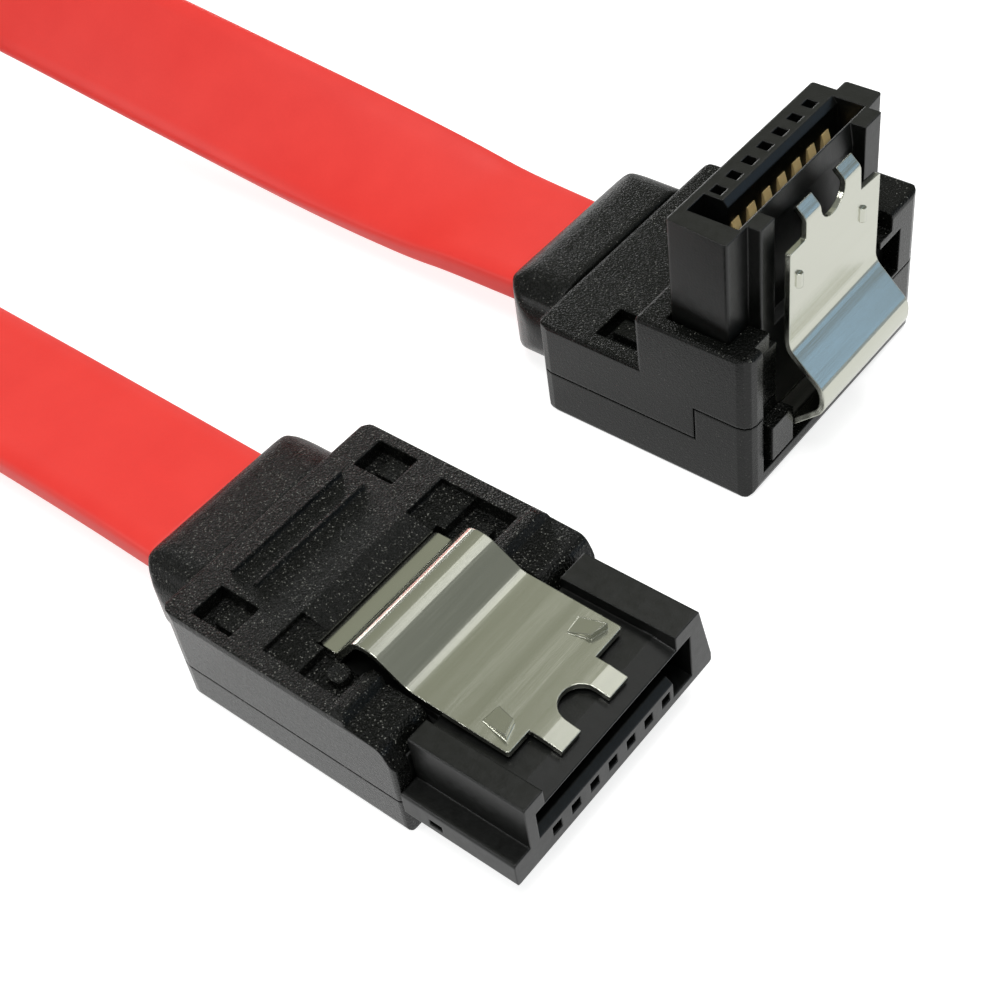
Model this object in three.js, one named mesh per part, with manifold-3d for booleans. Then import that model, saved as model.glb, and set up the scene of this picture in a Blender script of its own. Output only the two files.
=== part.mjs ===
// Serial data cable: a flat red ribbon with a straight latching plug on one end and a right-angle one on
// the other. Millimetres, +Z up, both plugs resting on z = 0, the straight plug mating along +X.
import * as THREE from "three";
import { mergeVertices } from "three/addons/utils/BufferGeometryUtils.js";
import Module from "manifold-3d";

const wasm = await Module();
wasm.setup();

// Driving dimensions of what both plugs share.
const PIN_PITCH = 1.27;
const PINS = 7;
const PLAY = 0.05; // clearance round a seated piece
const LATCH_PLAY = 0.1; // clearance round the root of a latch
const SEAM = 0.1; // open line between two shells
const WALL = 0.8; // shell thickness
const RIBBON_WIDTH = 8;
const RIBBON_THICKNESS = 1.8;
const RIBBON_HEIGHT = 3; // of the ribbon's middle above the rest plane, where it leaves a plug

// The nose, in its own directions: u out of the mating face, v across, t from the hole side to the latch.
const NOSE = {
  thickness: 4.1, // hole side to rail tops
  floor: 3.45, // hole side to the floor between the rails
  lip: 1.15, // length of the sloped front lip
  lipDrop: 0.2,
  slotLow: 1.7,
  slotHigh: 3.2,
  slotLeft: 4.9, // slot ends, from the middle of the pin row
  slotRight: 5.75,
  keyWidth: 1.4,
  keyLow: 0.45,
  slotDepth: 5.6,
  chamfer: 0.35,
  hole: 0.6,
  holeHeight: 0.85,
  holeDepth: 2.4,
};
const CONTACT_WIDTH = 0.6;
const CONTACT_THICKNESS = 0.3;
const CORE_RADIUS = 0.52;
const WIRE_RADIUS = 0.2;
const LATCH_THICKNESS = 0.3;

// Straight plug: x = 0 is its mating face.
const S = {
  half: 6.95,
  height: 5.95,
  front: -6.1, // front end of the shells
  rear: -19.9,
  seam: 2.35,
  roof: 1.75, // thickness of the upper shell over the wires
  noseBottom: 1.69,
  railHalf: 5.9, // half the width over the two latch rails
  recess: [-4.7, 4.35], // between the rails
  ledge: 1.45, // thickness of the nose outside the rails
  pinShift: -0.4,
  tailEnd: -13.4,
  baseRear: -11.5,
  baseDrop: 1.25, // top of the shells to the top of the housing inside them
  slopeRear: -14.2, // edge of the flat top, from where a slope leads down to the latch
  pocketRear: -12.75,
  latchRear: -15.1,
  latchDrop: 0.75, // top of the shells to the middle of the latch's root
  latchShift: -0.18,
  latchHalf: 3.87,
  pocketPlay: 0.18, // on each side of the latch
  notchShift: -0.43,
  notchHalf: 0.98,
  tabWidth: 1.27,
  ridge: 0.3, // height of the cross ridge over the top
  reliefLength: 3.9,
  reliefHalf: 5.75,
  reliefLow: 0.5,
  reliefHigh: 5.5,
};
// Right-angle plug: x = 0 is the front of its lower lip, and it mates along +Z.
const A = {
  side: 1.1, // shell beside the nose
  height: 5.8, // of the rear part
  roof: 0.9,
  blockHeight: 9, // of the raised front block
  blockRear: -6.5,
  front: -0.1,
  rear: -12.9,
  seam: 2.7,
  seamStep: -3.3,
  seamFront: 4.7,
  mate: 14.65, // height of the mating face
  noseRear: -5.1,
  noseShift: -0.3,
  noseHalf: 6.6,
  noseWide: 3.4, // thickness of the nose outside the rails
  railLow: -4.95, // rails and recess across the nose
  railHigh: 5.25,
  recess: [-3.55, 4.15],
  pinShift: 0.1,
  tailEnd: -7.4,
  baseLow: 1.75,
  latchShift: -0.4,
  latchHalf: 3.87,
  latchRoot: 2.75, // height of the latch's root
  latchRear: -2.6,
  latchTop: 14.5,
  pocketPlay: 0.43,
  pocketLow: 1,
  notchShift: -0.7,
  notchHalf: 1.05,
  tabWidth: 1.2,
  reliefLength: 4,
  reliefHalf: 6.4,
  reliefLow: 0.5,
  reliefHigh: 5.75,
};
A.half = A.noseHalf + A.side;
A.noseFront = A.noseRear + NOSE.thickness;
// Where the right-angle plug stands from the straight one, and the shift that centres both on the origin.
const A_AT = [-4.5, 24.6];
const CENTRE = [(S.rear - S.reliefLength) / 2, (A_AT[1] + A.half - S.half) / 2];

// Middle of the ribbon from the straight plug to the right-angle one: x, y, z and the lean of its width from
// level in degrees. It lies as it was laid near the plugs, turns on edge and comes back in a wide loop.
const ROUTE = [
  [-24.1, 0, 3, 0],
  [-30, 0.1, 3, 0],
  [-38, 0.2, 2.9, 2],
  [-50, 0.2, 2.9, 7],
  [-62, 0, 3.3, 20],
  [-75, -0.6, 3.9, 45],
  [-88, -1.6, 4.2, 70],
  [-102, -3.2, 4.2, 87],
  [-118, -5.4, 4.2, 90],
  [-136, -8.2, 4.2, 90],
  [-156, -10.8, 4.2, 90],
  [-178, -12.4, 4.2, 90],
  [-198, -12.7, 4.2, 90],
  [-211, -12, 4.2, 90],
  [-222, -7.6, 4.2, 90],
  [-229.8, 1, 4.2, 90],
  [-232.6, 12.3, 4.2, 90],
  [-229.8, 23.6, 4.2, 90],
  [-222, 32.2, 4.2, 90],
  [-211, 36.6, 4.2, 90],
  [-198, 37.3, 4.2, 90],
  [-178, 36.8, 4.2, 90],
  [-156, 34.9, 4.3, 90],
  [-136, 32, 4.6, 92],
  [-118, 28.8, 5.6, 98],
  [-102, 26, 7, 108],
  [-88, 24, 8.2, 120],
  [-75, 23, 8.6, 130],
  [-62, 22.9, 7.9, 136],
  [-50, 23.4, 6.2, 140],
  [-40, 24.1, 4.5, 148],
  [-31, 24.5, 3.4, 165],
  [-27, 24.6, 3.1, 175],
  [-21.7, 24.6, 3, 180],
];

const black = new THREE.MeshStandardMaterial({ color: 0x1c1d1c, roughness: 0.6 });
const inner = new THREE.MeshStandardMaterial({ color: 0x131414, roughness: 0.5 });
const steel = new THREE.MeshStandardMaterial({ color: 0xb9bab0, metalness: 1, roughness: 0.3 });
const gold = new THREE.MeshStandardMaterial({ color: 0xd8b36a, metalness: 1, roughness: 0.3 });
const red = new THREE.MeshStandardMaterial({ color: 0xd8322c, roughness: 0.5 });
const core = new THREE.MeshStandardMaterial({ color: 0xd9d4c6, roughness: 0.5 });
const copper = new THREE.MeshStandardMaterial({ color: 0xc9c4bb, metalness: 1, roughness: 0.35 });

// A three.js geometry as a solid, and back.
function solid(geometry) {
  const bare = geometry.index ? geometry.toNonIndexed() : geometry.clone();
  bare.deleteAttribute("normal");
  bare.deleteAttribute("uv");
  const merged = mergeVertices(bare, 1e-4);
  return new wasm.Manifold(
    new wasm.Mesh({
      numProp: 3,
      vertProperties: merged.attributes.position.array,
      triVerts: new Uint32Array(merged.index.array),
    }),
  );
}
function geometryOf(made) {
  const mesh = made.getMesh();
  const geometry = new THREE.BufferGeometry();
  geometry.setAttribute("position", new THREE.BufferAttribute(mesh.vertProperties, 3));
  geometry.setIndex(new THREE.BufferAttribute(mesh.triVerts, 1));
  return geometry;
}
function joined(solids) {
  return solids.reduce((sum, next) => sum.add(next));
}
function cutBy(body, tools) {
  return tools.reduce((rest, tool) => rest.subtract(tool), body);
}

function box(x0, x1, y0, y1, z0, z1) {
  const geometry = new THREE.BoxGeometry(x1 - x0, y1 - y0, z1 - z0);
  return solid(geometry.translate((x0 + x1) / 2, (y0 + y1) / 2, (z0 + z1) / 2));
}
// A closed outline; a corner given as [a, b, radius] is rounded.
function outline(corners, segments = 3) {
  const points = [];
  corners.forEach(([a, b, radius = 0], i) => {
    const corner = new THREE.Vector2(a, b);
    const before = corners[(i + corners.length - 1) % corners.length];
    const after = corners[(i + 1) % corners.length];
    const back = new THREE.Vector2(before[0], before[1]).sub(corner).normalize();
    const on = new THREE.Vector2(after[0], after[1]).sub(corner).normalize();
    if (!radius) {
      points.push(corner);
      return;
    }
    const turn = Math.acos(THREE.MathUtils.clamp(back.dot(on), -1, 1));
    const reach = radius / Math.tan(turn / 2);
    const middle = corner
      .clone()
      .add(back.clone().add(on).normalize().multiplyScalar(radius / Math.sin(turn / 2)));
    const start = corner.clone().addScaledVector(back, reach).sub(middle);
    const sweep = (Math.PI - turn) * Math.sign(on.cross(back));
    for (let s = 0; s <= segments; s++)
      points.push(start.clone().rotateAround(new THREE.Vector2(), (sweep * s) / segments).add(middle));
  });
  const apart = points.filter((point, i) => point.distanceTo(points.at(i - 1)) > 1e-4);
  return new THREE.Shape(apart);
}
// An outline pushed along one axis. Along z it lies in x, y; along y in x, z; along x in y, z.
const FACING = {
  x: new THREE.Matrix4().makeBasis(
    new THREE.Vector3(0, 1, 0),
    new THREE.Vector3(0, 0, 1),
    new THREE.Vector3(1, 0, 0),
  ),
  y: new THREE.Matrix4().makeBasis(
    new THREE.Vector3(1, 0, 0),
    new THREE.Vector3(0, 0, 1),
    new THREE.Vector3(0, -1, 0),
  ),
  z: new THREE.Matrix4(),
};
function prism(axis, corners, from, to, bevel = 0) {
  const shape = corners instanceof THREE.Shape ? corners : outline(corners);
  const geometry = new THREE.ExtrudeGeometry(shape, {
    depth: to - from - 2 * bevel,
    bevelEnabled: bevel > 0,
    bevelThickness: bevel,
    bevelSize: bevel,
    bevelOffset: -bevel,
    bevelSegments: 2,
  });
  geometry.translate(0, 0, bevel + (axis === "y" ? -to : from));
  return solid(geometry.applyMatrix4(FACING[axis]));
}
function rectangle(a0, a1, b0, b1, ...radii) {
  const [r1 = 0, r2 = r1, r3 = r1, r4 = r2] = radii;
  return [
    [a0, b0, r1],
    [a1, b0, r2],
    [a1, b1, r3],
    [a0, b1, r4],
  ];
}
// A bent strip: a side line with rounded bends, given a thickness, as a closed outline.
function strip(line, thickness) {
  const points = [];
  line.forEach(([a, b, radius = 0], i) => {
    if (!radius || i === 0 || i === line.length - 1) {
      points.push(new THREE.Vector2(a, b));
      return;
    }
    const bend = outline([line[i - 1].slice(0, 2), [a, b, radius], line[i + 1].slice(0, 2)], 5);
    points.push(...bend.getPoints().slice(1, 7));
  });
  const left = [];
  const right = [];
  points.forEach((point, i) => {
    const back = points[Math.max(i - 1, 0)];
    const on = points[Math.min(i + 1, points.length - 1)];
    const side = on.clone().sub(back).normalize().rotateAround(new THREE.Vector2(), Math.PI / 2);
    left.push(point.clone().addScaledVector(side, thickness / 2));
    right.unshift(point.clone().addScaledVector(side, -thickness / 2));
  });
  return new THREE.Shape([...left, ...right]);
}
function mirrored(make) {
  return [make(1), make(-1)];
}

const cable = new THREE.Group();
function place(name, made, material, at = [0, 0]) {
  const mesh = new THREE.Mesh(geometryOf(made), material);
  mesh.name = name;
  mesh.position.set(at[0] - CENTRE[0], at[1] - CENTRE[1], 0);
  cable.add(mesh);
}
const pinAt = (i, shift) => shift + (i - (PINS - 1) / 2) * PIN_PITCH;

// The nose in u, v, t: its outline seen from the front, with an L-shaped slot, probe holes and the recess
// in which the latch lies.
function nose(length, front, recessEnds, pinShift) {
  const n = NOSE;
  const body = prism("x", front, -length, 0);
  const left = pinShift - n.slotLeft;
  const right = pinShift + n.slotRight;
  const slot = [
    [left, n.slotLow],
    [right - n.keyWidth, n.slotLow],
    [right - n.keyWidth, n.keyLow],
    [right, n.keyLow],
    [right, n.slotHigh],
    [left, n.slotHigh],
  ];
  const lead = [
    [0.1, n.slotLow - n.chamfer],
    [0.1, n.slotLow + 0.1],
    [-n.chamfer, n.slotLow + 0.1],
    [-n.chamfer, n.slotLow],
  ];
  const recess = [
    [-length - 1, n.floor],
    [-n.lip, n.floor],
    [0.1, n.floor - n.lipDrop],
    [0.1, n.thickness + 1],
    [-length - 1, n.thickness + 1],
  ];
  const cuts = [
    prism("x", slot, -n.slotDepth, 1),
    prism("y", lead, left, right - n.keyWidth),
    prism("y", recess, ...recessEnds),
  ];
  for (let i = 0; i < PINS; i++) {
    const v = pinAt(i, pinShift);
    const half = n.hole / 2;
    cuts.push(box(-n.holeDepth, 1, v - half, v + half, n.holeHeight - half, n.holeHeight + half));
  }
  return cutBy(body, cuts);
}
// Contacts, cores and drain wires of one plug. The side line of a contact runs from tip to solder tail.
function wiring(end, line, p, housing, at) {
  const across = (i, half) => [pinAt(i, p.pinShift) - half, pinAt(i, p.pinShift) + half];
  for (let i = 0; i < PINS; i++) {
    const half = CONTACT_WIDTH / 2;
    const contact = prism("y", strip(line, CONTACT_THICKNESS), ...across(i, half));
    const room = prism("y", strip(line, CONTACT_THICKNESS + 2 * PLAY), ...across(i, half + PLAY));
    housing = housing.subtract(room);
    place(`${end}_contact_${i + 1}`, contact, gold, at);
  }
  const from = coreEnd(p);
  const bare = p.tailEnd + 0.6 - from;
  const jacket = p.tailEnd - 0.5 - from;
  for (let i = 0; i < PINS; i++) {
    const drain = i % 3 === 0;
    const profile = drain
      ? [[0, 0], [WIRE_RADIUS, 0], [WIRE_RADIUS, bare], [0, bare]]
      : [
          [0, 0],
          [CORE_RADIUS, 0],
          [CORE_RADIUS, jacket],
          [WIRE_RADIUS, jacket],
          [WIRE_RADIUS, bare],
          [0, bare],
        ];
    const turned = new THREE.LatheGeometry(profile.map(([a, b]) => new THREE.Vector2(a, b)), 10);
    turned.rotateZ(-Math.PI / 2).translate(from, pinAt(i, p.pinShift), RIBBON_HEIGHT);
    const name = drain ? `${end}_drain_wire_${i / 3 + 1}` : `${end}_core_${i < 3 ? i : i - 1}`;
    place(name, solid(turned), drain ? copper : core, at);
  }
  return housing;
}
// Height of a contact's tail, so that a drain wire at the ribbon's height rests on it.
const TAIL = RIBBON_HEIGHT - WIRE_RADIUS - 0.02 - CONTACT_THICKNESS / 2;

// The moulded sleeve behind a plug, with the neck and flange that hold it in the shells.
const NECK = {
  half: RIBBON_WIDTH / 2 + 0.6,
  low: RIBBON_HEIGHT - RIBBON_THICKNESS / 2 - 0.6,
  high: RIBBON_HEIGHT + RIBBON_THICKNESS / 2 + 0.15,
  flange: 0.8,
};
function relief(p) {
  const rear = p.rear - p.reliefLength;
  const front = p.rear - PLAY;
  const round = 0.46 * (p.reliefHigh - p.reliefLow);
  const turn = 0.46 * p.reliefHalf;
  const plan = outline(rectangle(rear, front, -p.reliefHalf, p.reliefHalf, turn, 0.2, 0.2, turn), 6);
  const section = outline(rectangle(-p.reliefHalf, p.reliefHalf, p.reliefLow, p.reliefHigh, round), 6);
  const side = outline(rectangle(rear, front, p.reliefLow, p.reliefHigh, 1.5, 0.1, 0.1, 1.5), 5);
  const sleeve = prism("z", plan, 0, p.reliefHigh + 1)
    .intersect(prism("x", section, rear - 1, p.rear))
    .intersect(prism("y", side, -p.reliefHalf - 1, p.reliefHalf + 1));
  const { half, low, high, flange } = NECK;
  const inside = p.rear + WALL;
  const neck = box(p.rear - 0.8, inside + PLAY + 0.1, -half, half, low, high);
  const disc = box(inside + PLAY, inside + flange, -half - flange, half + flange, low, high);
  return joined([sleeve, neck, disc]);
}
function neckRoom(p) {
  const { half, low, high } = NECK;
  return box(p.rear - 1, p.rear + WALL + 0.1, -half - PLAY, half + PLAY, low - PLAY, high + PLAY);
}
const coreEnd = (p) => p.rear + WALL + NECK.flange + PLAY;

// Straight plug: housing with nose, contacts and wires.
{
  const n = NOSE;
  const front = [
    [-S.half, 0, 0.15],
    [S.half - 0.15, 0, 0.15],
    [S.half - 0.15, 0.5],
    [S.railHalf + 0.15, n.thickness],
    [-S.railHalf, n.thickness, 0.1],
    [-S.railHalf, S.ledge],
    [-S.half, S.ledge, 0.15],
  ];
  let housing = nose(-S.front - PLAY, front, S.recess, S.pinShift);
  housing = solid(geometryOf(housing).translate(0, 0, S.noseBottom));
  const half = S.half - WALL - 2 * PLAY;
  const top = S.height - S.baseDrop;
  const middle = S.latchShift;
  const collar = S.latchHalf - 0.1;
  const floor = S.noseBottom + n.floor - PLAY;
  housing = joined([
    housing,
    box(S.baseRear, S.front - PLAY, -half, half, WALL + PLAY, top),
    box(S.front - 0.1, S.front + 0.3, 0.1 - S.railHalf, S.railHalf - 0.1, S.noseBottom + 0.1, top),
    box(S.front - 1.3, S.front + 0.3, middle - collar, middle + collar, top - 0.5, floor),
  ]);
  housing = housing.subtract(
    box(S.front + 1.5, S.front + 2.2, -S.half - 1, 0.2 - S.half, S.noseBottom + 0.45, S.noseBottom + 0.85),
  );
  const bar = S.noseBottom + n.slotLow - 0.03;
  const line = [
    [-1.4, bar - 0.2],
    [-2.1, bar, 1],
    [-6.2, bar, 0.4],
    [-7.4, TAIL, 0.4],
    [S.tailEnd, TAIL],
  ];
  housing = wiring("straight", line, S, housing, [0, 0]);
  place("straight_housing", housing, inner);
}
// Straight plug: upper and lower shell.
{
  const top = S.height;
  const ridge = top + S.ridge;
  const plan = rectangle(S.rear, S.front, -S.half, S.half, 0.9, 0.25, 0.25, 0.9);
  const side = [
    [S.rear, 0],
    [S.front, 0],
    [S.front, top - 1.5],
    [S.front - 0.6, top - 0.25, 0.6],
    [S.front - 2.5, top - 0.15],
    [S.front - 2.75, ridge, 0.2],
    [S.front - 3.25, ridge, 0.2],
    [S.front - 3.5, top],
    [S.rear, top, 0.3],
  ];
  const body = prism("z", plan, 0, ridge + 1)
    .intersect(prism("y", side, -S.half - 1, S.half + 1))
    .intersect(
      prism("x", rectangle(-S.half, S.half, 0, ridge, 0.4, 0.4, 0.55, 0.55), S.rear - 1, S.front + 1),
    );
  const inside = S.half - WALL - PLAY;
  const hollow = [
    box(S.rear + WALL, S.front + 1, -inside, inside, WALL, top - S.roof),
    box(S.baseRear - 0.1, S.front + 1, -inside, inside, WALL, top - S.baseDrop + PLAY),
    neckRoom(S),
  ];
  // Screened pits over the strain relief, each with a post in it.
  const windows = mirrored((side) => {
    const across = side * (S.half - 1.6);
    const pit = box(S.rear + 1.6, S.rear + 4, across - 0.95, across + 0.95, top - 0.85, top + 1);
    return pit.subtract(box(S.rear + 2.6, S.rear + 3.75, across - 0.6, across + 0.6, 0, top - 0.3));
  });
  const root = top - S.latchDrop;
  const room = LATCH_THICKNESS / 2 + LATCH_PLAY;
  const foot = root + room + 0.15;
  // Beside the latch: a low shelf, then a pit with a knob, inside an outer curb.
  const cheeks = mirrored((side) => {
    const between = (a, b) => [side * a, side * b].sort((one, other) => one - other);
    const width = between(S.latchHalf - 0.4, S.half - 0.95);
    const shelf = box(S.slopeRear, S.slopeRear + 1.9, ...width, foot, top + 1);
    const pit = box(S.slopeRear + 1.9, S.slopeRear + 4.5, ...width, top - 0.9, top + 1);
    const middle = between(S.half - 2.6, S.half - 1.65);
    const knob = rectangle(S.slopeRear + 2.85, S.slopeRear + 3.8, ...middle, 0.3);
    return joined([pit, shelf]).subtract(prism("z", knob, 0, top - 0.45));
  });
  const slope = [
    [S.slopeRear, top + 1],
    [S.slopeRear, top],
    [S.pocketRear, foot],
    [S.slopeRear + 1.9, foot],
    [S.slopeRear + 1.9, top + 1],
  ];
  const slopeHalf = S.half - 1.65;
  const pocket = [-1, 1].map((side) => S.latchShift + side * (S.latchHalf + S.pocketPlay));
  const slot = [-1, 1].map((side) => S.latchShift + side * (S.latchHalf + LATCH_PLAY));
  const latchRoom = [
    box(S.pocketRear, S.front + 1, ...pocket, root - room, ridge + 1),
    box(S.baseRear - 0.1, S.front + 1, ...pocket, top - S.roof - 0.1, ridge + 1),
    box(S.latchRear - LATCH_PLAY, S.pocketRear + 0.1, ...slot, root - room, root + room),
    prism("y", slope, -slopeHalf, slopeHalf),
  ];
  const ribs = [1.5, 2.95].map((along) => {
    const x = S.rear + along;
    const rise = 0.2;
    return prism(
      "y",
      [[x - 0.22, top - 0.2], [x + 0.22, top - 0.2], [x + 0.07, top + rise], [x - 0.07, top + rise]],
      3.35 - S.half,
      S.half - 3.35,
    );
  });
  const shell = cutBy(joined([body, ...ribs]), [...hollow, ...windows, ...cheeks, ...latchRoom]);
  const around = [S.rear - 1, 1, -S.half - 1, S.half + 1];
  place("straight_top_cover", shell.intersect(box(...around, S.seam + SEAM / 2, ridge + 1)), black);
  place("straight_bottom_cover", shell.intersect(box(...around, -1, S.seam - SEAM / 2)), black);
  place("straight_strain_relief", relief(S), black);
}
// Straight plug: latch spring. Its root lies in a slot of the upper shell, a hump takes the finger, and the
// tabs and the two pressed wedges go in between the rails of the nose.
{
  const root = S.height - S.latchDrop;
  const rails = S.noseBottom + NOSE.thickness;
  const line = [
    [S.latchRear, root],
    [S.pocketRear + 1.1, root, 0.4],
    [S.pocketRear + 2.35, root + 1.75, 1.0],
    [S.pocketRear + 3.35, root + 1.75, 1.2],
    [S.pocketRear + 5.15, rails - 0.04, 1.2],
    [-1.6, rails - 0.29, 0.5],
    [-0.65, rails - 0.45],
  ];
  const low = S.latchShift - S.latchHalf;
  const high = S.latchShift + S.latchHalf;
  const notch = [S.notchShift - S.notchHalf, S.notchShift + S.notchHalf];
  const back = -1.35 - S.notchHalf;
  const round = S.notchHalf - 0.01;
  const plan = [
    [S.latchRear - 1, low + 0.15],
    [S.pocketRear - 0.2, low + 0.15],
    [S.pocketRear + 0.2, low],
    [-2.28, low, 0.15],
    [-2.28, notch[0] - S.tabWidth],
    [-0.55, notch[0] - S.tabWidth, 0.15],
    [-0.55, notch[0], 0.15],
    [back, notch[0], round],
    [back, notch[1], round],
    [-0.55, notch[1], 0.15],
    [-0.55, notch[1] + S.tabWidth, 0.15],
    [-2.28, notch[1] + S.tabWidth],
    [-2.28, high, 0.15],
    [S.pocketRear + 0.2, high],
    [S.pocketRear - 0.2, high - 0.15],
    [S.latchRear - 1, high - 0.15],
  ];
  const leaf = prism("y", strip(line, LATCH_THICKNESS), low - 1, high + 1).intersect(
    prism("z", outline(plan, 6), root - 1, root + 3),
  );
  const flat = rails - 0.2 + LATCH_THICKNESS / 2;
  const wedges = mirrored((side) => {
    const spot = [[-4.1, 3.25], [-2.7, 3.45], [-2.95, 2.6], [-4, 2.3]];
    const seen = spot.map(([x, y]) => [x, S.latchShift + side * y]);
    const rise = [[-4.3, flat - 0.1], [-2.6, flat - 0.1], [-2.6, flat + 0.36], [-4.3, flat]];
    const turned = side > 0 ? seen.reverse() : seen;
    return prism("z", turned, flat - 1, flat + 1).intersect(prism("y", rise, low, high));
  });
  place("straight_latch", joined([leaf, ...wedges]), steel);
}

// Right-angle plug: housing with the nose turned up, contacts and wires.
{
  const n = NOSE;
  // Seen from the mating end, v runs towards -y.
  const near = A.noseHalf - A.noseShift;
  const far = A.noseHalf + A.noseShift;
  const front = [
    [0.8 - far, 0, 0.15],
    [near - 0.25, 0, 0.15],
    [near, A.noseWide, 0.15],
    [A.railHigh, A.noseWide],
    [A.railHigh, n.thickness, 0.1],
    [A.railLow, n.thickness, 0.1],
    [A.railLow, A.noseWide],
    [-far, A.noseWide - 0.1, 0.15],
    [-far, n.slotLow - n.chamfer, 0.15],
    [0.8 - far, n.slotLow - n.chamfer],
  ];
  const turned = new THREE.Matrix4().makeBasis(
    new THREE.Vector3(0, 0, 1),
    new THREE.Vector3(0, -1, 0),
    new THREE.Vector3(1, 0, 0),
  );
  turned.setPosition(A.noseRear, 0, A.mate);
  const up = geometryOf(nose(A.mate - A.blockHeight + 1, front, A.recess, -A.pinShift));
  const half = A.noseHalf - 0.4;
  const base = box(
    A.noseRear - 0.5, A.noseFront, A.noseShift - half, A.noseShift + half, A.baseLow, A.blockHeight - 0.6,
  );
  const room = LATCH_THICKNESS / 2 + LATCH_PLAY;
  const clamp = box(
    A.latchRear - LATCH_PLAY,
    A.noseFront + 1,
    A.latchShift - A.latchHalf - LATCH_PLAY,
    A.latchShift + A.latchHalf + LATCH_PLAY,
    A.latchRoot - room,
    A.latchRoot + room,
  );
  let housing = solid(up.applyMatrix4(turned)).add(base).subtract(clamp);
  const wall = A.noseRear + n.slotLow + 0.03;
  const line = [
    [wall - 0.15, A.mate - 1.35],
    [wall, A.mate - 1.85, 1],
    [wall, TAIL, 0.4],
    [A.tailEnd, TAIL],
  ];
  housing = wiring("angle", line, A, housing, A_AT);
  place("angle_housing", housing, inner, A_AT);
}
// Right-angle plug: upper and lower shell.
{
  const plan = rectangle(A.rear, A.front, -A.half, A.half, 0.8, 0.7, 0.7, 0.8);
  const side = [
    [A.rear, 0, 0.9],
    [A.front, 0, 0.5],
    [A.front, A.blockHeight, 0.3],
    [A.blockRear, A.blockHeight, 0.2],
    [A.blockRear, A.height],
    [A.rear, A.height, 0.3],
  ];
  const above = A.blockHeight + 1;
  const body = prism("z", plan, -1, above).intersect(prism("y", side, -A.half, A.half, 0.18));
  const low = A.noseShift - A.noseHalf;
  const high = A.noseShift + A.noseHalf;
  const step = A.noseRear + A.noseWide + PLAY;
  const hollow = [
    box(A.rear + WALL, A.noseRear - 0.4, 1.4 - A.half, A.half - 1.4, WALL, A.height - A.roof),
    box(
      A.noseRear - 0.5 - PLAY, A.noseFront + PLAY, low + 0.4 - PLAY, high - 0.4 + PLAY, A.baseLow - 0.5,
      A.blockHeight - 0.6 + PLAY,
    ),
    neckRoom(A),
    box(A.noseRear - PLAY, step, low - PLAY, high + PLAY, A.blockHeight - 1, above),
    box(A.noseRear, 1, -A.railHigh - PLAY, PLAY - A.railLow, A.blockHeight - 1, above),
  ];
  // Pits on the rear part, each with a post in it.
  const windows = mirrored((side) => {
    const between = (a, b) => [side * (A.half - a), side * (A.half - b)].sort((one, other) => one - other);
    const pit = box(A.rear + 3.2, A.rear + 5.7, ...between(3.1, 0.95), A.height - 0.85, A.height + 1);
    return pit.subtract(box(A.rear + 3.6, A.rear + 5.2, ...between(2.9, 1.8), 0, A.height - 0.35));
  });
  // The pocket for the latch in the front, a shallow recess beside it for the hook, and a window opposite.
  const pocket = [-1, 1].map((side) => A.latchShift + side * (A.latchHalf + A.pocketPlay));
  const latchRoom = [
    box(A.noseFront, 1, ...pocket, A.pocketLow, above),
    box(A.front - 0.45, 1, pocket[0] - 1.8, pocket[0] + 0.1, A.pocketLow, above),
    box(A.front - 1.8, 1, pocket[1] - 0.1, pocket[1] + 1.95, A.seamFront + 0.2, A.seamFront + 2.9),
  ];
  const hook = [
    [A.front - 0.5, A.pocketLow + 0.35],
    [A.front + 0.3, A.pocketLow + 0.75],
    [A.front + 0.3, A.seamFront - 0.8],
    [A.front - 0.5, A.seamFront - 0.8],
  ];
  const shell = cutBy(body, [...hollow, ...windows, ...latchRoom]);
  const split = [
    [A.rear - 1, A.seam],
    [A.seamStep, A.seam],
    [A.seamStep, A.seamFront],
    [2, A.seamFront],
  ];
  const across = [-A.half - 1, A.half + 1];
  const upper = [...split.map(([a, b]) => [a, b + SEAM / 2]), [2, above], [A.rear - 1, above]];
  const under = split.map(([a, b]) => [a + (a === A.seamStep ? SEAM : 0), b - SEAM / 2]);
  const lower = [...under, [2, -1], [A.rear - 1, -1]].reverse();
  place("angle_top_cover", shell.intersect(prism("y", upper, ...across)), black, A_AT);
  const hooked = shell.add(prism("y", hook, pocket[0] - 1.45, pocket[0] + 0.33));
  place("angle_bottom_cover", hooked.intersect(prism("y", lower, ...across)), black, A_AT);
  place("angle_strain_relief", relief(A), black, A_AT);
}
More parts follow.
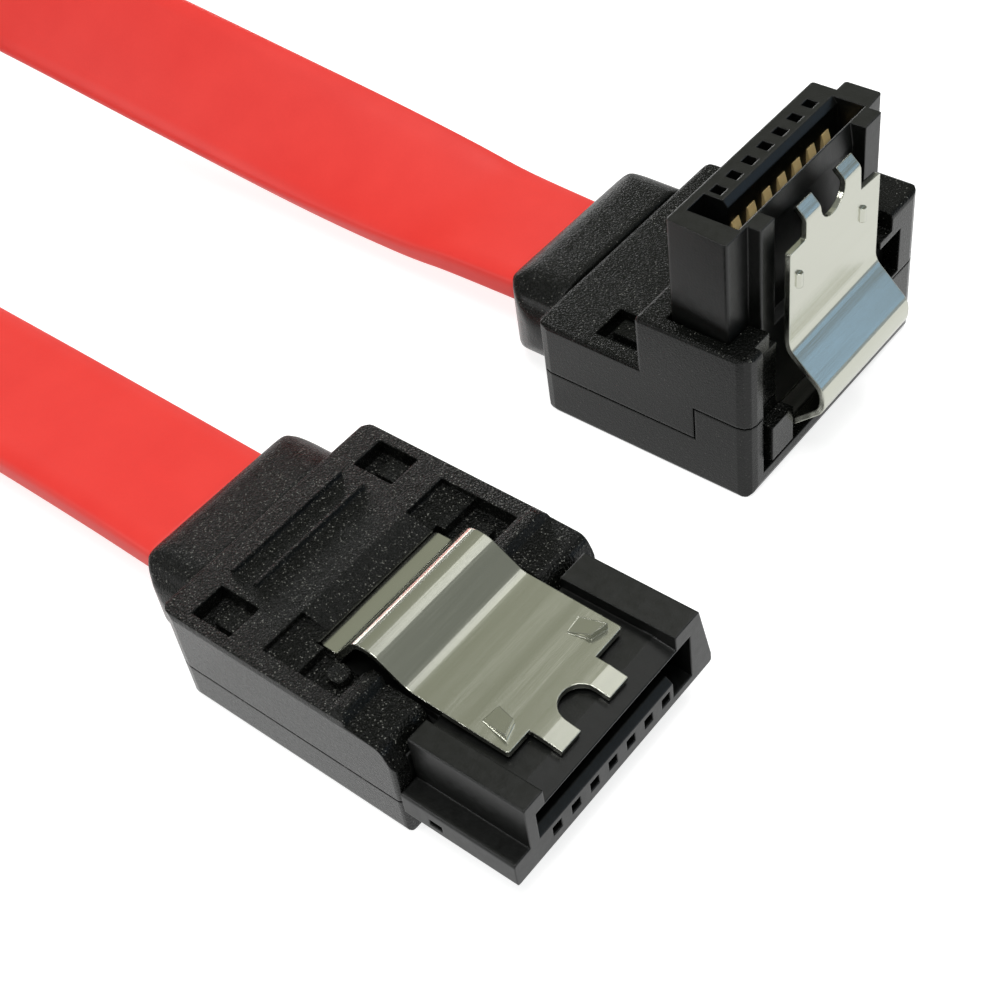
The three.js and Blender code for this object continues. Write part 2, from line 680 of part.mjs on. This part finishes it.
// Right-angle plug: latch spring, held in the housing at its root and standing in front of the nose.
{
  const out = A.front + 1.82;
  const face = A.front - 0.15;
  const line = [
    [A.latchRear, A.latchRoot],
    [A.front + 0.2, A.latchRoot, 0.5],
    [out, A.latchRoot + 1.55, 1.0],
    [out, A.latchRoot + 2.7, 1.0],
    [face, A.latchRoot + 4.6, 1.2],
    [face, A.latchTop - 0.5, 0.4],
    [face - 0.5, A.latchTop],
  ];
  const low = A.latchShift - A.latchHalf;
  const high = A.latchShift + A.latchHalf;
  const notch = [A.notchShift - A.notchHalf, A.notchShift + A.notchHalf];
  const top = A.latchTop + 1;
  const floor = A.latchTop - 1.55;
  const round = A.notchHalf - 0.01;
  const plate = [
    [low, A.latchRoot - 1],
    [high, A.latchRoot - 1],
    [high, A.latchTop - 2, 0.15],
    [notch[1] + A.tabWidth + 0.2, A.latchTop - 1.85],
    [notch[1] + A.tabWidth, top],
    [notch[1], top],
    [notch[1], floor, round],
    [notch[0], floor, round],
    [notch[0], top],
    [notch[0] - A.tabWidth, top],
    [notch[0] - A.tabWidth, A.latchTop - 1.2],
    [low + 1.3, A.latchTop - 1.5, 0.1],
    [low, A.latchTop - 1.5, 0.1],
  ];
  const leaf = prism("y", strip(line, LATCH_THICKNESS), low - 1, high + 1).intersect(
    prism("x", outline(plate, 6), A.latchRear - 1, out + 1),
  );
  const skin = face + LATCH_THICKNESS / 2;
  const lances = [low + 0.75, high - 1.5].map((y) =>
    prism(
      "z",
      [[skin - 0.1, y - 0.25], [skin + 0.17, y - 0.1], [skin + 0.17, y + 0.1], [skin - 0.1, y + 0.25]],
      A.latchTop - 3.8,
      A.latchTop - 3,
    ),
  );
  place("angle_latch", joined([leaf, ...lances]), steel, A_AT);
}

// The ribbon itself, twisted along its route.
{
  class RibbonRoute extends THREE.CatmullRomCurve3 {
    computeFrenetFrames(segments) {
      const leans = new THREE.CatmullRomCurve3(
        ROUTE.map(([, , , lean]) => new THREE.Vector3(THREE.MathUtils.degToRad(lean), 0, 0)),
        false,
        "catmullrom",
        0.5,
      );
      const frames = { tangents: [], normals: [], binormals: [] };
      const up = new THREE.Vector3(0, 0, 1);
      for (let i = 0; i <= segments; i++) {
        const t = this.getUtoTmapping(i / segments);
        const tangent = this.getTangent(t);
        const level = tangent.clone().cross(up).normalize();
        const lean = leans.getPoint(t).x;
        const high = level.clone().cross(tangent).normalize();
        const wide = level.multiplyScalar(Math.cos(lean)).addScaledVector(high, Math.sin(lean));
        frames.tangents.push(tangent);
        frames.normals.push(wide);
        frames.binormals.push(tangent.clone().cross(wide));
      }
      return frames;
    }
  }
  const route = new RibbonRoute(
    ROUTE.map(([x, y, z]) => new THREE.Vector3(x, y, z)),
    false,
    "catmullrom",
    0.5,
  );
  const w = RIBBON_WIDTH / 2;
  const t = RIBBON_THICKNESS / 2;
  const half = [[w, -0.3 * t], [w, 0.3 * t], [w - 0.25, 0.8 * t], [w - 0.7, t]];
  const section = [...half, [0.7 - w, t], [0.25 - w, 0.8 * t], [-w, 0.3 * t]];
  section.push([-w, -0.3 * t], [0.25 - w, -0.8 * t], [0.7 - w, -t], [w - 0.7, -t], [w - 0.25, -0.8 * t]);
  const ribbon = new THREE.ExtrudeGeometry(outline(section), {
    steps: 78,
    bevelEnabled: false,
    extrudePath: route,
  });
  place("cable_jacket", solid(ribbon), red);
}

export default cable;
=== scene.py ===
"""Looks of the serial data cable: a red ribbon with a straight and a right-angle latching plug, in metres."""

import math

import bpy
from mathutils import Matrix, Vector


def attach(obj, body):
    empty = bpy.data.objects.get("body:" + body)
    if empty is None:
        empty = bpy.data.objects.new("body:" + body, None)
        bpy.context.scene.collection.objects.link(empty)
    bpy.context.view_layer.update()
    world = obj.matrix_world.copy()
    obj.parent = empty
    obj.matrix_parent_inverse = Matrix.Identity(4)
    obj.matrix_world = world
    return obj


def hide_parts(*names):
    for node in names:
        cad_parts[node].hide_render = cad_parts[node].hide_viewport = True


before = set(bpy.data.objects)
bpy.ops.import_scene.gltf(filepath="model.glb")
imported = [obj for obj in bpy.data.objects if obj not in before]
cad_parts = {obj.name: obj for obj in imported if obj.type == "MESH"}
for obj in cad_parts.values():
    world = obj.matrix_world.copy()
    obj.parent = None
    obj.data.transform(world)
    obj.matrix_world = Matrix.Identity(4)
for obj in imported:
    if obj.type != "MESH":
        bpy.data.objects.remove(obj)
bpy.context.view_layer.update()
MM = 0.001

# Camera: stands above and beside the straight plug, where the photograph shows both plugs.
# Its place and its three directions were fitted to the two plugs together.
camera_place = Vector((39.15, -43.60, 62.50)) * MM
view_right = Vector((0.77417, 0.62273, -0.11342)).normalized()
view_back = Vector((0.49210, -0.47943, 0.72663)).normalized()
view_up = view_back.cross(view_right).normalized()
camera = bpy.data.objects.new("camera", bpy.data.cameras.new("camera"))
camera.data.lens = 61.93
camera.data.sensor_width = 36
camera.data.clip_start = 0.005
camera.data.clip_end = 10
turned = Matrix((view_right, view_up, view_back)).transposed().to_4x4()
camera.matrix_world = Matrix.Translation(camera_place) @ turned
bpy.context.collection.objects.link(camera)
bpy.context.scene.camera = camera
bpy.context.scene.view_settings.view_transform = "Standard"


# Ribbon: seven conductors side by side under one soft red jacket, extruded flat. It leaves each plug's sleeve
# lying flat, turns on edge behind the plugs and comes back in a wide loop, 0.45 m in all.
class Signal:
    """A socket in a material's tree; arithmetic on it adds Math nodes."""

    def __init__(self, tree, socket):
        self.tree, self.socket = tree, socket

    def maths(self, operation, first, second):
        node = self.tree.nodes.new("ShaderNodeMath")
        node.operation = operation
        for place, value in zip(node.inputs, (first, second)):
            connect(self.tree, place, value)
        return Signal(self.tree, node.outputs[0])

    def __add__(self, other):
        return self.maths("ADD", self, other)

    def __sub__(self, other):
        return self.maths("SUBTRACT", self, other)

    def __rsub__(self, other):
        return self.maths("SUBTRACT", other, self)

    def __mul__(self, other):
        return self.maths("MULTIPLY", self, other)

    __radd__, __rmul__ = __add__, __mul__


def connect(tree, place, value):
    if isinstance(value, Signal):
        tree.links.new(value.socket, place)
    else:
        place.default_value = value


class Finish:
    """A material with one Principled shader."""

    def __init__(self, name, **sockets):
        self.material = bpy.data.materials.new(name)
        self.material.use_nodes = True
        self.tree = self.material.node_tree
        self.shader = self.tree.nodes["Principled BSDF"]
        self.set(**sockets)

    def set(self, **sockets):
        for label, value in sockets.items():
            connect(self.tree, self.shader.inputs[label.replace("_", " ")], value)

    def node(self, kind, settings=None, inputs=None, output=0):
        made = self.tree.nodes.new("ShaderNode" + kind)
        for name, value in (settings or {}).items():
            setattr(made, name, value)
        for place, value in (inputs or {}).items():
            connect(self.tree, made.inputs[place], value)
        return Signal(self.tree, made.outputs[output])

    def millimetres(self):
        """The point of the piece itself, in millimetres of the frame."""
        here = self.node("TexCoord", output="Object")
        return self.node("VectorMath", {"operation": "SCALE"}, {0: here, "Scale": 1000.0})

    def speckle(self, scale, detail=2.0, rough=0.5):
        """Noise from 0 to 1, with about as many spots to a millimetre as its scale."""
        inputs = {"Vector": self.millimetres(), "Scale": scale, "Detail": detail, "Roughness": rough}
        return self.node("TexNoise", {}, inputs)

    def tint(self, mask, low, high):
        """A colour between two, by a mask."""
        return self.blend(mask, (*low, 1), high)

    def blend(self, mask, under, over):
        """A colour over another colour or signal, by a mask."""
        return self.node("Mix", {"data_type": "RGBA"}, {0: mask, 6: under, 7: (*over, 1)}, output=2)

    def dent(self, height, depth, strength=1.0, edge=None):
        """A normal bumped by a height from 0 to 1, its depth in millimetres, over edges rounded to a radius."""
        inputs = {"Height": height, "Distance": depth * MM, "Strength": strength}
        if edge:
            inputs["Normal"] = self.node("Bevel", {"samples": 6}, {"Radius": edge * MM})
        return self.node("Bump", {}, inputs)


def linear(red, green, blue):
    """A colour as it looks, 0 to 255, as the shader's linear one."""
    looks = (red, green, blue)
    return tuple(c / 255 / 12.92 if c < 10 else ((c / 255 + 0.055) / 1.055) ** 2.4 for c in looks)


def spline(values, steps):
    """Catmull-Rom through the values: the place and its slope at even steps of each stretch."""
    ends = [values[0] * 2 - values[1], *values, values[-1] * 2 - values[-2]]
    made = []
    for i in range(len(values) - 1):
        a, b, c, d = ends[i : i + 4]
        last = i == len(values) - 2
        for k in range(steps + last):
            t = k / steps
            place = b + (c - a) * (t / 2) + (a * 2 - b * 5 + c * 4 - d) * (t * t / 2)
            place = place + (b * 3 - a - c * 3 + d) * (t**3 / 2)
            slope = (c - a) / 2 + (a * 2 - b * 5 + c * 4 - d) * t
            slope = slope + (b * 3 - a - c * 3 + d) * (t * t * 1.5)
            made.append((place, slope))
    return made


def mesh_piece(name, points, faces, finish):
    """A smooth-shaded piece from points in millimetres."""
    mesh = bpy.data.meshes.new(name)
    mesh.from_pydata([Vector(p) * MM for p in points], [], faces)
    mesh.update()
    piece = bpy.data.objects.new(name, mesh)
    bpy.context.collection.objects.link(piece)
    mesh.materials.append(finish.material)
    mesh.polygons.foreach_set("use_smooth", [True] * len(mesh.polygons))
    return piece


# Each point of the route is x, y, z in millimetres and the ribbon's lean in degrees, flat at 0 and 180.
centre = Vector((-11.9, 12.675, 0))
route = [
    (-24.1, 0, 3, 0), (-30, 0.1, 3, 0), (-38, 0.2, 2.9, 2), (-50, 0.2, 2.9, 7), (-62, 0, 3.3, 20),
    (-75, -0.6, 3.9, 45), (-88, -1.6, 4.2, 70), (-102, -3.2, 4.2, 87), (-118, -5.4, 4.2, 90),
    (-136, -8.2, 4.2, 90), (-156, -10.8, 4.2, 90), (-178, -12.4, 4.2, 90), (-198, -12.7, 4.2, 90),
    (-211, -12, 4.2, 90), (-222, -7.6, 4.2, 90), (-229.8, 1, 4.2, 90), (-232.6, 12.3, 4.2, 90),
    (-229.8, 23.6, 4.2, 90), (-222, 32.2, 4.2, 90), (-211, 36.6, 4.2, 90), (-198, 37.3, 4.2, 90),
    (-178, 36.8, 4.2, 90), (-156, 34.9, 4.3, 90), (-136, 32, 4.6, 92), (-118, 28.8, 5.6, 98),
    (-102, 26, 7, 108), (-88, 24, 8.2, 120), (-75, 23, 8.6, 130), (-62, 22.9, 7.9, 136),
    (-50, 23.4, 6.2, 140), (-40, 24.1, 4.5, 148), (-31, 24.5, 3.4, 165), (-27, 24.6, 3.1, 175),
    (-21.7, 24.6, 3, 180),
]
steps_between = 12
ribbon_width, ribbon_thickness = 8, 1.8
conductor_pitch = 1.02
swell_over_conductor = 0.015
edge_power, face_power = 0.22, 0.55
points_round = 96

section = []
for k in range(points_round):
    turn = 2 * math.pi * k / points_round
    across = math.copysign(abs(math.cos(turn)) ** edge_power, math.cos(turn)) * ribbon_width / 2
    deep = math.copysign(abs(math.sin(turn)) ** face_power, math.sin(turn)) * ribbon_thickness / 2
    over_wire = 0.5 + 0.5 * math.cos(2 * math.pi * across / conductor_pitch)
    section.append((across, deep * (1 - swell_over_conductor + swell_over_conductor * over_wire)))

middle = spline([Vector(point[:3]) - centre for point in route], steps_between)
leans = spline([Vector((point[3], 0, 0)) for point in route], steps_between)
rings = []
for (place, slope), (lean, _) in zip(middle, leans):
    along = slope.normalized()
    level = along.cross(Vector((0, 0, 1))).normalized()
    high = level.cross(along).normalized()
    wide = level * math.cos(math.radians(lean.x)) + high * math.sin(math.radians(lean.x))
    rings.append((place, wide, along.cross(wide)))
points = [place + wide * a + thick * b for place, wide, thick in rings for a, b in section]
faces = []
for start in range(0, len(points) - points_round, points_round):
    for k in range(points_round):
        near, beside = start + k, start + (k + 1) % points_round
        faces.append((near, beside, beside + points_round, near + points_round))
faces.append(tuple(range(points_round))[::-1])
faces.append(tuple(range(len(points) - points_round, len(points))))

jacket = Finish("red_jacket", Coat_Weight=0.25, Coat_Roughness=0.42, IOR=1.46)
mottle = jacket.speckle(0.35, 3)
fine = jacket.speckle(7.0, 3)
jacket.set(
    Base_Color=jacket.tint(mottle * 0.7 + fine * 0.3, linear(227, 37, 31), linear(244, 59, 50)),
    Roughness=0.44 + fine * 0.16,
    Normal=jacket.dent(fine, 0.012, 0.6),
)
ribbon = mesh_piece("ribbon", points, faces, jacket)
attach(ribbon, "cable")
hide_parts("cable_jacket")
[tuple(place * MM) for place, _, _ in rings]


# Covers and sleeves: black moulded plastic. The moulds are spark-eroded, which leaves a fine grain on the tops
# and a smoother skin on the sides. The covers snap together over the housing, and the softer sleeve between
# them is moulded round the ribbon.
def dress(node, finish):
    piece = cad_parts[node]
    piece.data.materials.clear()
    piece.data.materials.append(finish.material)


def moulded(name, depth, painted_glint_share, sheen):
    """Black plastic with eroded pits of a depth, a share of pits on its tops with a painted glint in their
    colour, and a sheen on its sides.
    """
    pits_per_mm = 9.0
    made = Finish(name, IOR=1.25, Coat_Roughness=0.2)
    up = made.node("SeparateXYZ", {}, {0: made.node("NewGeometry", output="True Normal")}, output="Z")
    top = made.node("MapRange", {}, {0: up, 1: 0.2, 2: 0.7, 3: 0.3, 4: 1.0})
    grain = made.speckle(pits_per_mm, 3.0, 0.7)
    here = made.millimetres()
    pits = made.node("TexVoronoi", {}, {"Vector": here, "Scale": pits_per_mm})
    cells = made.node("TexVoronoi", {}, {"Vector": here, "Scale": 2.2 * pits_per_mm}, output="Color")
    chance = made.node("SeparateColor", {}, {0: cells})
    # Painted glint: a share of the pits, on upward faces only, where light would catch the grain.
    painted_glint = made.node("MapRange", {}, {0: chance, 1: 1 - painted_glint_share, 2: 1.0, 3: 0.0, 4: 1.0}) * top
    body = made.tint(grain, linear(2, 3, 2), linear(13, 14, 12))
    made.set(
        # The base colour is the grain with a light grey painted glint over those pits.
        Base_Color=made.blend(painted_glint, body, linear(122, 122, 116)),
        Roughness=0.17 + grain * 0.2,
        Coat_Weight=(1.1 - top) * sheen,
        Normal=made.dent((grain * 0.6 + pits * 0.7) * top, depth, edge=0.16),
    )
    return made


def round_over(node):
    """Turns a sleeve's facets into one soft skin, as a flexible moulding has."""
    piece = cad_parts[node]
    skin = piece.modifiers.new("skin", "REMESH")
    skin.mode = "VOXEL"
    skin.voxel_size = 0.14 * MM
    skin.use_smooth_shade = True
    even = piece.modifiers.new("even", "SMOOTH")
    even.factor = 0.5
    even.iterations = 14


straight_black = moulded("straight_black", 0.085, 0.05, 0.66)
angle_black = moulded("angle_black", 0.045, 0.015, 0.45)
for end, finish in (("straight", straight_black), ("angle", angle_black)):
    round_over(f"{end}_strain_relief")
    for part in ("top_cover", "bottom_cover", "strain_relief"):
        dress(f"{end}_{part}", finish)

# Housings: the glass-filled black core that carries the nose and holds the contacts in its bores. Its mould is
# polished, so it is smoother and a little shinier than the covers that close round it.
satin = Finish("satin_black", IOR=1.5)
haze = satin.speckle(2.2, 4, 0.6)
satin.set(
    Base_Color=satin.tint(haze, linear(3, 4, 3), linear(14, 15, 14)),
    Roughness=0.24 + haze * 0.2,
    Normal=satin.dent(satin.speckle(9.0, 2), 0.01, 0.5, edge=0.12),
)
for end in ("straight", "angle"):
    dress(f"{end}_housing", satin)

# Latch springs: stamped from bright stainless strip and bent over a hump, with the rolling lines and slight
# waves running along the bends. Each is rooted in its housing and springs back when it is pressed.
spring = Finish("latch_steel", Metallic=1.0, Base_Color=(*linear(205, 206, 194), 1))
stretched = spring.node("Mapping", {}, {"Vector": spring.millimetres(), "Scale": (1.0, 0.03, 1.0)})
rolled = spring.node("TexNoise", {}, {"Vector": stretched, "Scale": 14.0, "Detail": 4.0})
waves = spring.node("TexNoise", {}, {"Vector": stretched, "Scale": 0.9, "Detail": 1.0})
spring.set(
    Roughness=0.14 + rolled * 0.1,
    Normal=spring.dent(rolled * 0.04 + waves, 0.07, edge=0.07),
)
for end in ("straight", "angle"):
    dress(f"{end}_latch", spring)

# Contacts: seven in each plug, stamped from bronze strip and pushed into the housing's bores, gold-plated where
# they touch the port's pads.
plated = Finish("gold_plate", Metallic=0.25)
wear = plated.speckle(3.0, 3)
plated.set(
    Base_Color=plated.tint(wear, linear(246, 208, 136), linear(254, 230, 172)),
    Roughness=0.34 + wear * 0.15,
)
for end in ("straight", "angle"):
    for i in range(1, 8):
        dress(f"{end}_contact_{i}", plated)

# Cores and drain wires: two pairs of tinned strands in milky insulation and three bare drain wires between
# them, all soldered to the contacts' tails inside each plug.
insulation = Finish("core_insulation", IOR=1.45, Roughness=0.35)
cloud = insulation.speckle(1.5, 2)
insulation.set(Base_Color=insulation.tint(cloud, linear(226, 220, 206), linear(240, 236, 226)))
tinned = Finish("tinned_copper", Metallic=1.0)
dull = tinned.speckle(4.0, 3)
tinned.set(
    Base_Color=tinned.tint(dull, linear(196, 192, 186), linear(222, 219, 214)),
    Roughness=0.25 + dull * 0.2,
)
for end in ("straight", "angle"):
    for i in range(1, 5):
        dress(f"{end}_core_{i}", insulation)
    for i in range(1, 4):
        dress(f"{end}_drain_wire_{i}", tinned)

# Floor: a sheet of white paper under the cable. It glows a little, so that the camera sees it as pure white
# save for the cable's own faint shadow, and steel and plastic mirror it bright.
paper = Finish("white_paper", Roughness=0.9, Specular_IOR_Level=0.1)
paper.set(Base_Color=paper.tint(paper.speckle(0.05, 2), (0.49, 0.49, 0.49), (0.51, 0.51, 0.51)))
camera_sees = paper.node("LightPath", output="Is Camera Ray")
mirror_sees = paper.node("LightPath", output="Is Glossy Ray")
glow = paper.node("Emission", {}, {"Strength": camera_sees * 0.5 + mirror_sees * 0.16 + 0.3})
lift = paper.node("AddShader", {}, {0: Signal(paper.tree, paper.shader.outputs[0]), 1: glow})
connect(paper.tree, paper.tree.nodes["Material Output"].inputs["Surface"], lift)
half = 750
corners = [(-half, -half, 0), (half, -half, 0), (half, half, 0), (-half, half, 0)]
floor = mesh_piece("floor", corners, [(0, 1, 2, 3)], paper)
floor.location.z = -0.02 * MM

# World: even white for the camera, and a dim room for everything that it lights.
room = (0.22, 0.23, 0.21)
world = bpy.data.worlds.new("studio")
bpy.context.scene.world = world
world.use_nodes = True
sky = world.node_tree
camera_sees = Signal(sky, sky.nodes.new("ShaderNodeLightPath").outputs["Is Camera Ray"])
colour = sky.nodes.new("ShaderNodeCombineColor")
for channel, level in zip(colour.inputs, room):
    connect(sky, channel, camera_sees * (1 - level) + level)
sky.links.new(colour.outputs[0], sky.nodes["Background"].inputs["Color"])


# Lamps: soft boxes round the table, places and sizes in millimetres, power in watts. Those aimed at the plugs
# are mostly there to be mirrored: the green wall in the straight latch's flats, the ceiling tubes in its bends,
# the window and its panes in the right-angle latch's hump, and the strip in the covers' rear edges.
def soft_box(name, place, aim, width, height, power, colour=(1, 1, 1)):
    lamp = bpy.data.objects.new(name, bpy.data.lights.new(name, "AREA"))
    lamp.data.shape = "RECTANGLE"
    lamp.data.size, lamp.data.size_y = width * MM, height * MM
    lamp.data.energy = power
    lamp.data.color = colour
    lamp.location = Vector(place) * MM
    lamp.visible_camera = False
    lamp.rotation_mode = "QUATERNION"
    lamp.rotation_quaternion = (Vector(aim) - Vector(place)).to_track_quat("-Z", "Y")
    bpy.context.collection.objects.link(lamp)


table, plugs = (0, 0, 0), (0, 0, 5)
sky_blue = (0.32, 0.6, 1.0)
soft_box("key", (50, -70, 310), table, 150, 150, 0.54)
soft_box("side", (-190, -270, 180), table, 70, 70, 0.22)
soft_box("edge strip", (-330, 180, 47), plugs, 260, 90, 0.37)
soft_box("green wall", (-200, 196, 298), plugs, 280, 280, 0.029, (1.0, 1.0, 0.62))
for width, power in ((170, 0.035), (120, 0.08), (80, 0.27)):
    soft_box(f"ceiling tube {width}", (10, 150, 280), plugs, width, 110, power)
soft_box("window", (320, 185, 120), plugs, 280, 190, 0.042, sky_blue)
for height in (65, 110, 160):
    soft_box(f"window pane {height}", (320, 185, height), plugs, 260, 26, 0.014, sky_blue)
